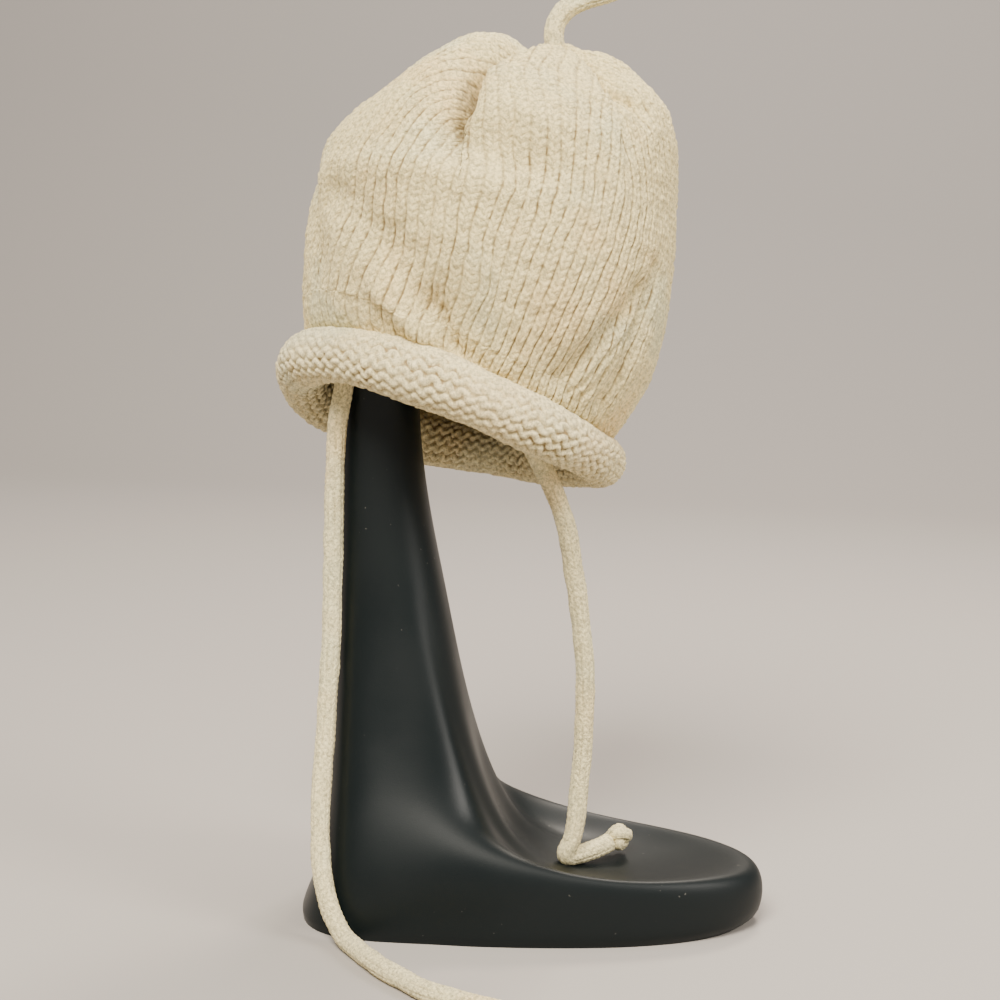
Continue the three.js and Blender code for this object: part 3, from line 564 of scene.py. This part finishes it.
def drawn_round(turn, climb):
    """The angle at which each wale stands at each climb, where the hung cloth is drawn round."""
    angle = turn
    near_climbs = np.exp(-((climb[..., None] - DRAWN_CLIMBS) / 0.15) ** 2)
    for _ in range(6):
        wrapped = (np.degrees(angle)[..., None] + 250) % 360 - 250
        near_turns = np.exp(-((wrapped - DRAWN_ANGLES) / 20) ** 2)
        angle = turn + np.radians(np.einsum("...i,ij,...j->...", near_climbs, DRAWN, near_turns))
    return angle


def fold_depth(folds, angle, climb, radius):
    """How far the folds pull the bag in at each place."""
    depth = np.zeros_like(angle)
    for from_angle, from_climb, to_angle, to_climb, before, after, deep in folds:
        turn = (angle - math.radians(from_angle) + math.pi) % (2 * math.pi) - math.pi
        along = math.radians(to_angle - from_angle) * radius
        rise = (to_climb - from_climb) * SIDE_LENGTH
        x, z = turn * radius, (climb - from_climb) * SIDE_LENGTH
        share = np.clip((x * along + z * rise) / (along**2 + rise**2), 0, 1)
        wide = np.where(x > share * along, after, before) * SIDE_LENGTH
        depth += deep * FOLD_DEPTH * np.exp(-((x - share * along) ** 2 + (z - share * rise) ** 2) / wide**2)
    return depth


def cap_wales(angle, climb, radius, widest):
    """The number of wales from the left to each place. In the crown they keep their width and run into
    the creases between the lobes."""
    wrapped = (angle - LOBE_EDGES[0]) % (2 * math.pi) + LOBE_EDGES[0]
    lobe = np.clip(np.searchsorted(LOBE_EDGES, wrapped, side="right") - 1, 0, 4)
    middle = (LOBE_EDGES[lobe] + LOBE_EDGES[lobe + 1]) / 2
    narrow = np.minimum(radius / widest, 1)
    narrow = 1 + (narrow - 1) * np.clip((climb - 0.45) / 0.12, 0, 1)
    return np.interp(middle + (wrapped - middle) * narrow, wale_turns, wale_counts)


fine_turn = np.linspace(-math.pi, math.pi, 1441)
fine_ring = bag_rings(np.full((1, 1), 0.25), fine_turn[None])[0]
fine_run = np.concatenate([[0], np.cumsum(np.linalg.norm(np.diff(fine_ring, axis=0), axis=1))])
even_turn = np.interp(np.linspace(0, fine_run[-1], CAP_COLUMNS + 1), fine_run, fine_turn)


# Wales counted evenly along the ring, carried on a little past both of its ends.
wale_counts = np.linspace(0, 3 * CAP_WALES, 3 * CAP_COLUMNS + 1)
wale_turns = np.concatenate([even_turn[:-1] - 2 * math.pi, even_turn[:-1], even_turn + 2 * math.pi])


def cap_surface(climbs):
    """The cap's knitted outside at each climb, its lining, its stitches and their relief, lowered as painted
    shade in deep folds and creases.
    """
    turn = even_turn
    share = (turn / math.pi + 1) / 2
    climb = np.repeat(climbs[:, None], CAP_COLUMNS + 1, axis=1)
    wander = 0.012 * soft_noise(share * 48, climb * 12, 11, 48)
    wander = wander + 0.006 * soft_noise(share * 96, climb * 30, 14, 96)
    angle = drawn_round(turn + 0 * climb, climb) + wander
    places = bag_rings(climb, angle)
    middle = places[:, :-1].mean(axis=1)[:, None]
    radius = np.linalg.norm(places - middle, axis=2)
    up = np.gradient(places, axis=0)
    round_way = np.roll(places[:, :-1], -1, axis=1) - np.roll(places[:, :-1], 1, axis=1)
    round_way = np.concatenate([round_way, round_way[:, :1]], axis=1)
    out = unit(np.cross(round_way, up))
    top = np.clip((1 - climb) / 0.06, 0, 1)
    bottom = np.clip((climb - CAP_FOOT) / 0.06, 0, 1)
    fold = fold_depth(FOLDS, angle, climb, radius) * top * bottom
    crease = fold_depth(CREASES, angle, climb, radius) * top * bottom
    lip = fold_depth(LIPS, angle, climb, radius) * top * bottom
    smooth = places - out * fold[..., None] - unit(round_way) * lip[..., None]
    widest = CAP_WALES * WALE_WIDTH / (2 * math.pi)
    wale = cap_wales(turn + 0 * climb, climb, radius, widest)
    row = climb * SIDE_LENGTH / CAP_ROW_HEIGHT + 0.2 * soft_noise(share * 32, climb * 20, 12, 32)
    relief = stocking_stitch(wale, row)
    uneven = CAP_UNEVENNESS * soft_noise(share * 128, climb * 45, 13, 128)
    knitted = smooth + out * (CAP_RELIEF * (relief - 0.85) - crease + uneven)[..., None]
    lining = smooth - out * CAP_WALL
    # Painted shade: deep folds and creases lower the relief, so the wool's groove colour darkens them.
    shade = np.clip((np.maximum(fold, 0) / 11 + crease / 7) ** 1.8, 0, 1)
    relief = relief * (1 - 0.8 * shade)
    return knitted[:, :-1], lining[:, :-1], np.stack([wale, row], axis=2), relief[:, :-1]


cap_wool = wool_material(
    "cap wool", cream=(1, 0.815, 0.4, 1), warm_tint=(1, 0.75, 0.34, 1), cool_tint=(0.88, 0.81, 0.47, 1),
    groove=(0.25, 0.17, 0.06, 1), groove_strength=1.0, v_strength=0.24,
)
knitted, _, stitches, relief = cap_surface(np.linspace(CAP_FOOT, 1, CAP_ROWS))
_, lining, lining_stitches, _ = cap_surface(np.linspace(CAP_FOOT, 1, LINING_ROWS))
for name, low, high in (("knit_lower", 0, 1), ("knit_middle", 1, 2), ("knit_crown", 2, 3)):
    rows = slice(low * (CAP_ROWS // 3), high * (CAP_ROWS // 3) + 1)
    lining_rows = slice(low * (LINING_ROWS // 3), high * (LINING_ROWS // 3) + 1)
    inside = lining[lining_rows][::-1]
    rings = np.concatenate([knitted[rows], inside])
    flat_relief = np.concatenate([relief[rows], np.ones(inside.shape[:2])])
    all_stitches = np.concatenate([stitches[rows], lining_stitches[lining_rows][::-1], stitches[rows][:1]])
    edges = (0, len(rings) - len(inside) - 1, len(rings) - len(inside), len(rings) - 1)
    piece = grid_piece(name, rings, all_stitches, flat_relief, looped=True, edges=edges)
    piece.data.materials.append(cap_wool)
    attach(piece, "root")
    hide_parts("knitted_shell")

# The brim: the cap's lower edge rolls outwards by itself, so the cloth's other face shows.
# Its short bars lie like bricks round a roll about as thick as a finger, a little thinner at the right.
BRIM_WALES = 74
BRIM_ROWS = 16
BRIM_RINGS = 740
BRIM_AROUND = 120
BRIM_RELIEF = 1.6
BRIM_UNEVENNESS = 0.26
WALE_WANDER = 0.2
ROW_WANDER = 0.18
SUNK_SHARE = 0.36
SMOOTH_EDGE = 4.9
RIGHT_END_THINNING = 1.7


def purl_bars(wale, row):
    """The height of the knit's other face: short curved bars in rows, each row half a stitch aside."""
    height = np.zeros_like(wale)
    for aside, way in ((0, 1), (0.5, -1)):
        across = (wale + aside + 0.5) % 1 - 0.5
        up = (row + aside + way * 1.3 * across**2 + 0.5) % 1 - 0.5
        height = np.maximum(height, 1 - (across / 0.47) ** 2 - (up / 0.33) ** 2)
    return np.sqrt(np.maximum(height, 0))


turn = np.linspace(0, 2 * math.pi, BRIM_RINGS + 1)
around = np.linspace(0, 2 * math.pi, BRIM_AROUND + 1)
wales, rows = turn / (2 * math.pi) * BRIM_WALES, around / (2 * math.pi) * BRIM_ROWS
place, row = np.meshgrid(wales, rows, indexing="ij")
wale = place + WALE_WANDER * soft_noise(place, row * 0.7, 21, BRIM_WALES)
row = row + ROW_WANDER * soft_noise(place, row * 0.6 + 90, 22, BRIM_WALES)
relief = purl_bars(wale, row)
# The roll's upper edge is pulled smooth, and some loops sink into the fuzz.
sunk = np.clip(0.5 + 0.9 * soft_noise(place * 0.5, row * 0.5, 24, BRIM_WALES // 2), 0, 1)
sunk = np.maximum(sunk * SUNK_SHARE, np.exp(-(((around - SMOOTH_EDGE) / 0.75) ** 2))[None])
relief = relief + (0.85 - relief) * sunk
swell = 0.5 * np.sin(3 * turn + 0.6) + 0.4 * np.sin(7 * turn + 2)
uneven = BRIM_UNEVENNESS * soft_noise(place * 2, row * 1.6, 23, BRIM_WALES * 2)
from_right = (turn + math.pi) % (2 * math.pi) - math.pi
swell = swell - RIGHT_END_THINNING * np.exp(-((from_right / 0.55) ** 2))
out = BRIM_ROLL / 2 + swell[:, None] + BRIM_RELIEF * (relief - 0.8) + uneven
outward = unit(
    brim_across * np.cos(turn)[:, None] / BRIM_WIDTH + brim_back * np.sin(turn)[:, None] / BRIM_DEPTH
)
section = np.cos(around)[None, :, None] * outward[:, None] - np.sin(around)[None, :, None] * cap_axis
rings = brim_line(turn)[:, None] + out[..., None] * section
stitches = np.stack([wale, row], axis=2)
brim = grid_piece("brim_knit", rings[:-1, :-1], stitches, relief[:-1, :-1], looped=True)
brim_wool = wool_material(
    "brim wool", cream=(1, 0.84, 0.46, 1), warm_tint=(0.98, 0.78, 0.42, 1), cool_tint=(0.92, 0.83, 0.5, 1),
    groove=(0.3, 0.2, 0.08, 1), groove_strength=0.95, v_strength=0,
)
brim.data.materials.append(brim_wool)
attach(brim, "root")
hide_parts("rolled_brim")

# The topknot: a short knitted cord of the same kind, sewn into the gather and bent over to the right.
# It is stiff enough to stand by itself and ends in a knot.
GATHER = bag_rings(np.ones((1, 2)), np.array([[-math.pi / 2, math.pi / 2]]))[0].mean(axis=0)
TOPKNOT_ROUTE = [
    (0, 0, -2), (-0.5, 0, 4.5), (0.5, 0, 9), (4, 0, 13.8),
    (10, 0, 17.1), (16.5, 0, 19.1), (23.5, 0, 21.5), (29.5, 0, 24.5),
]
topknot, topknot_path, _ = knitted_cord("topknot_cord_knit", np.array(TOPKNOT_ROUTE) + GATHER, tie_wool)
topknot_knot = pulled_knot("topknot_knot_knit", *end_of(topknot_path), tie_wool)
for piece in (topknot, topknot_knot):
    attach(piece, "root")
    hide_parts(piece.name.replace("_knit", ""))

# The stand: one moulded black plastic piece, a hollow-faced foot, a flared post and a plain knob
# inside the cap. Its surface is satin, with a fine moulded grain and a little lint.
FOOT_LENGTH = 190
FOOT_WIDTH = 100
FOOT_FORWARD = 7
FOOT_WAIST = -16
HEEL_WIDTH = 108
RIM_HEIGHT = 27
FLARE_HEIGHT = 138
POST_HEIGHT = 212
POST_WIDTH = 31.5
POST_DEPTH = 38
POST_SETBACK = 79
KNOB_WIDTH = 84
KNOB_HEIGHT = 66
KNOB_FORWARD = 12
TOE_OVAL_POWER = 2
HEEL_OVAL_POWER = 4
POST_OVAL_POWER = 2.4
STAND_COLUMNS = 160
STAND_STEPS = 5
FOOT_SOFTENING = 14
BLEND_ROUNDS = 130
RIM_ROUNDS = 30
# The rows between which the mould's surface is blended, and those of the foot's rounded rim.
BLENDED_ROWS = (4.5, 18.5)
RIM_ROWS = (1.2, 7.5)
# How many rows further out the blending starts on the near side.
NEAR_ROWS = 1.8
# For each direction round the post: how far out, the share of the rim's height, and of the flare's.
FOOT_TURNS = [0, 58, 75, 90, 118, 180]
FOOT_ROWS = np.array([
    [(0.93, 0, 0), (0.97, 0, 0), (0.97, 0, 0), (0.97, 0, 0), (0.98, 0, 0), (0.95, 0, 0)],
    [(0.975, 0.16, 0), (1, 0.15, 0), (1, 0.15, 0), (1, 0.15, 0), (1, 0.15, 0), (1, 0.13, 0)],
    [(1, 0.5, 0), (1, 0.55, 0), (1, 0.55, 0), (1, 0.55, 0), (0.99, 0.4, 0), (0.88, 0.3, 0)],
    [(0.985, 0.82, 0), (0.985, 0.86, 0), (0.985, 0.9, 0), (0.985, 0.93, 0), (0.96, 0.68, 0), (0.62, 0.48, 0)],
    [(0.95, 1, 0), (0.95, 1.04, 0), (0.95, 1, 0.03), (0.95, 1, 0.06), (0.91, 0.95, 0), (0.4, 0.66, 0)],
    [(0.9, 0.92, 0), (0.9, 1, 0), (0.89, 1, 0.05), (0.89, 1, 0.13), (0.84, 1, 0.06), (0.25, 0.86, 0)],
    [(0.8, 0.75, 0), (0.8, 0.85, 0), (0.8, 1, 0.07), (0.8, 1, 0.18), (0.75, 1, 0.13), (0.16, 1, 0.06)],
    [(0.6, 0.68, 0), (0.62, 0.82, 0), (0.7, 1, 0.1), (0.7, 1, 0.24), (0.65, 1, 0.2), (0.1, 1, 0.14)],
    [(0.41, 0.72, 0), (0.47, 0.92, 0), (0.6, 1, 0.155), (0.58, 1, 0.33), (0.54, 1, 0.28), (0.06, 1, 0.23)],
    [(0.29, 0.92, 0), (0.36, 1, 0.06), (0.51, 1, 0.24), (0.46, 1, 0.43), (0.43, 1, 0.37), (0.03, 1, 0.33)],
    [(0.21, 1, 0.07), (0.275, 1, 0.2), (0.41, 1, 0.39), (0.34, 1, 0.52), (0.32, 1, 0.48), (0.015, 1, 0.45)],
    [(0.138, 1, 0.26), (0.175, 1, 0.42), (0.27, 1, 0.62), (0.23, 1, 0.63), (0.22, 1, 0.6), (0, 1, 0.58)],
    [(0.082, 1, 0.5), (0.1, 1, 0.66), (0.15, 1, 0.8), (0.13, 1, 0.76), (0.13, 1, 0.73), (0, 1, 0.72)],
    [(0.036, 1, 0.78), (0.037, 1, 0.86), (0.05, 1, 0.92), (0.05, 1, 0.9), (0.05, 1, 0.87), (0, 1, 0.86)],
])
# How far up the post, and its width and depth there in shares of its top's.
POST_ROWS = [(0, 1.38, 1.2), (0.2, 1.24, 1.14), (0.45, 1.12, 1.08), (0.72, 1.03, 1.03), (1, 0.96, 1)]

turn = np.linspace(0, 2 * math.pi, STAND_COLUMNS, endpoint=False)
degrees = np.degrees(np.minimum(turn, 2 * math.pi - turn))
part = np.clip(np.searchsorted(FOOT_TURNS, degrees, side="left") - 1, 0, 4)
share = (degrees - np.take(FOOT_TURNS, part)) / (np.take(FOOT_TURNS, part + 1) - np.take(FOOT_TURNS, part))
share = (share * share * (3 - 2 * share))[:, None]
toe = np.cos(turn) > 0
power = np.where(toe, TOE_OVAL_POWER, HEEL_OVAL_POWER)
reach = np.abs(np.where(toe, FOOT_LENGTH / 2, -FOOT_LENGTH / 2) + FOOT_FORWARD - FOOT_WAIST)
taper = np.clip(np.cos(turn) + 0.6, 0, 1)
half_width = (HEEL_WIDTH + (FOOT_WIDTH - HEEL_WIDTH) * taper * taper * (3 - 2 * taper)) / 2
edge_x = FOOT_WAIST + reach * pushed_oval(np.cos(turn), power)
edge_y = half_width * pushed_oval(np.sin(turn), power)


def softened(rows, degrees_wide):
    """Values round the stand, each mixed with its neighbours within some degrees."""
    steps = np.arange(-STAND_COLUMNS // 8, STAND_COLUMNS // 8 + 1)
    weights = np.exp(-(steps * 360 / STAND_COLUMNS / degrees_wide) ** 2)
    return sum(np.roll(rows, step, axis=0) * weight for step, weight in zip(steps, weights)) / weights.sum()


def post_ring(height, width, depth):
    x = -POST_SETBACK + width / 2 + width / 2 * pushed_oval(np.cos(turn), POST_OVAL_POWER)
    y = depth / 2 * pushed_oval(np.sin(turn), POST_OVAL_POWER)
    return np.stack([x, y, np.full_like(x, height)], axis=1)


post = [
    post_ring(FLARE_HEIGHT + (POST_HEIGHT - FLARE_HEIGHT) * rise, POST_WIDTH * width, POST_DEPTH * depth)
    for rise, width, depth in POST_ROWS
]
foot = []
for row in FOOT_ROWS:
    away, rim, rise = softened(row[part] + (row[part + 1] - row[part]) * share, FOOT_SOFTENING).T
    x = post[0][:, 0] + (edge_x - post[0][:, 0]) * away
    y = post[0][:, 1] + (edge_y - post[0][:, 1]) * away
    foot.append(np.stack([x, y, rim * RIM_HEIGHT + rise * (FLARE_HEIGHT - RIM_HEIGHT)], axis=1))
upright = np.array([0, 0, 1.0])
knob_axis = unit(upright + 0.6 * (unit(GATHER - brim_centre) - upright))
knob_across = unit(np.array([1, 0, 0]) - knob_axis * knob_axis[0])
knob_back = np.cross(knob_axis, knob_across)
knob = []
for polar in np.linspace(2.4, 0.16, 8):
    level = knob_axis * KNOB_HEIGHT / 2 * math.cos(polar)
    ring = np.cos(turn)[:, None] * knob_across + np.sin(turn)[:, None] * knob_back
    knob.append(brim_centre + [KNOB_FORWARD, 0, 0] + level + KNOB_WIDTH / 2 * math.sin(polar) * ring)
knob = np.array(knob)
knob[:, :, 2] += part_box("stand")[1][2] * 1000 - knob[:, :, 2].max()
span = np.linalg.norm(knob[0, 0] - post[-1][0])
neck = []
for t in (0.2, 0.4, 0.6, 0.8):
    rising, leaning = post[-1] + upright * span * 0.45, knob[0] - knob_axis * span * 0.25
    start = (1 - t) ** 3 * post[-1] + 3 * t * (1 - t) ** 2 * rising
    neck.append(start + 3 * t * t * (1 - t) * leaning + t**3 * knob[0])
rings = smooth_through(np.array(foot + post + neck + list(knob)), STAND_STEPS)
level = np.arange(len(rings)) / STAND_STEPS
near_share = np.clip(0.5 - 2 * np.sin(turn), 0, 1)[None, :]
softness = np.clip((level[:, None] - BLENDED_ROWS[0] + NEAR_ROWS * near_share) / 2, 0, 1)
softness = (0.5 * softness * np.clip((BLENDED_ROWS[1] - level[:, None]) / 2, 0, 1))[1:-1, :, None]


def blended(rings):
    """The mould's hollows and flare run into each other on one soft surface, from the rim to the post."""
    soft = rings.copy()
    for _ in range(BLEND_ROUNDS):
        along = (soft[:-2] + soft[2:]) / 2
        aside = (np.roll(soft, 1, axis=1) + np.roll(soft, -1, axis=1))[1:-1] / 2
        soft[1:-1] += softness * (0.6 * along + 0.4 * aside - soft[1:-1])
    return soft


once = blended(rings)
rings = once + blended(rings - once)
rim_softness = 0.5 * np.clip(level - RIM_ROWS[0], 0, 1) * np.clip((RIM_ROWS[1] - level) / 2, 0, 1)
rim_softness = rim_softness[1:-1, None, None]
for _ in range(RIM_ROUNDS):
    rings[1:-1] += rim_softness * ((rings[:-2] + rings[2:]) / 2 - rings[1:-1])
rings[:, :, 2] = np.maximum(rings[:, :, 2], 0)
holder = grid_piece("stand_moulded", rings, ends="flat", edges=(0,))
black_plastic = bpy.data.materials.new("black plastic")
black_plastic.use_nodes = True
tree = black_plastic.node_tree
shader = tree.nodes["Principled BSDF"]
place = join(tree, "ShaderNodeTexCoord", {}).outputs["Object"]
dull = ranged(tree, noise(tree, place, 18, 4), 0.35, 0.65, 0.36, 0.46)
lint = ranged(tree, noise(tree, place, 420, 2), 0.745, 0.79, 0, 0.4)
colour = mixed(tree, lint, (0.003, 0.0055, 0.006, 1), (0.2, 0.19, 0.17, 1))
grain = {"Height": noise(tree, place, 2200, 2), "Strength": 0.1, "Distance": 0.0003}
grain = join(tree, "ShaderNodeBump", grain)
shader.inputs["Specular IOR Level"].default_value = 0.24
tree.links.new(colour, shader.inputs["Base Color"])
tree.links.new(dull, shader.inputs["Roughness"])
tree.links.new(grain.outputs["Normal"], shader.inputs["Normal"])
holder.data.materials.append(black_plastic)
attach(holder, "root")
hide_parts("stand")

# The floor: pale, matt and plain, and curved up behind as one sweep. Its sizes are in metres.
FLOOR_HALF = 3.0
FLOOR_FRONT = -2.5
FLOOR_TOP = 3.5
SWEEP_START = 1.2
SWEEP_RADIUS = 0.9
bend = np.linspace(0, math.pi / 2, 24)
profile = [(FLOOR_FRONT, 0)]
profile += [(SWEEP_START + SWEEP_RADIUS * math.sin(a), SWEEP_RADIUS * (1 - math.cos(a))) for a in bend]
profile += [(SWEEP_START + SWEEP_RADIUS, FLOOR_TOP)]
floor_places = [(x, y, z) for y, z in profile for x in (-FLOOR_HALF, FLOOR_HALF)]
floor_faces = [(2 * i, 2 * i + 1, 2 * i + 3, 2 * i + 2) for i in range(len(profile) - 1)]
floor_mesh = bpy.data.meshes.new("floor")
floor_mesh.from_pydata(floor_places, [], floor_faces)
floor_mesh.shade_smooth()
floor = bpy.data.objects.new("floor", floor_mesh)
floor_paint = bpy.data.materials.new("pale floor")
floor_paint.use_nodes = True
shader = floor_paint.node_tree.nodes["Principled BSDF"]
shader.inputs["Base Color"].default_value = (0.372, 0.338, 0.307, 1)
shader.inputs["Roughness"].default_value = 0.9
floor.data.materials.append(floor_paint)
bpy.context.scene.collection.objects.link(floor)

# The light: a large soft one from the front, a weak one from the right, a small one from above and
# behind, one on the sweep, and pale air all round. Their places and sizes are in metres.
for name, place, aim, size, power, colour in (
    ("key light", (-0.27, -1.03, 1.3), (0, 0, 0.22), 0.7, 60, (1, 0.95, 0.85)),
    ("side light", (1.1, -0.5, 0.8), (0, 0, 0.15), 0.6, 17, (1, 0.95, 0.88)),
    ("top light", (0.25, 0.75, 1.1), (0.03, 0, 0.02), 0.3, 14, (1, 0.9, 0.78)),
    ("sweep light", (0.2, 0.5, 1.9), (0.5, 2.2, 0.9), 1.0, 36, (1, 0.96, 0.93)),
):
    lamp = bpy.data.objects.new(name, bpy.data.lights.new(name, "AREA"))
    lamp.data.size = size
    lamp.data.energy = power
    lamp.data.color = colour
    lamp.location = place
    lamp.rotation_euler = (Vector(aim) - Vector(place)).to_track_quat("-Z", "Y").to_euler()
    bpy.context.scene.collection.objects.link(lamp)
air = bpy.data.worlds.new("pale air")
air.use_nodes = True
air.node_tree.nodes["Background"].inputs["Color"].default_value = (0.82, 0.81, 0.8, 1)
air.node_tree.nodes["Background"].inputs["Strength"].default_value = 0.42
bpy.context.scene.world = air
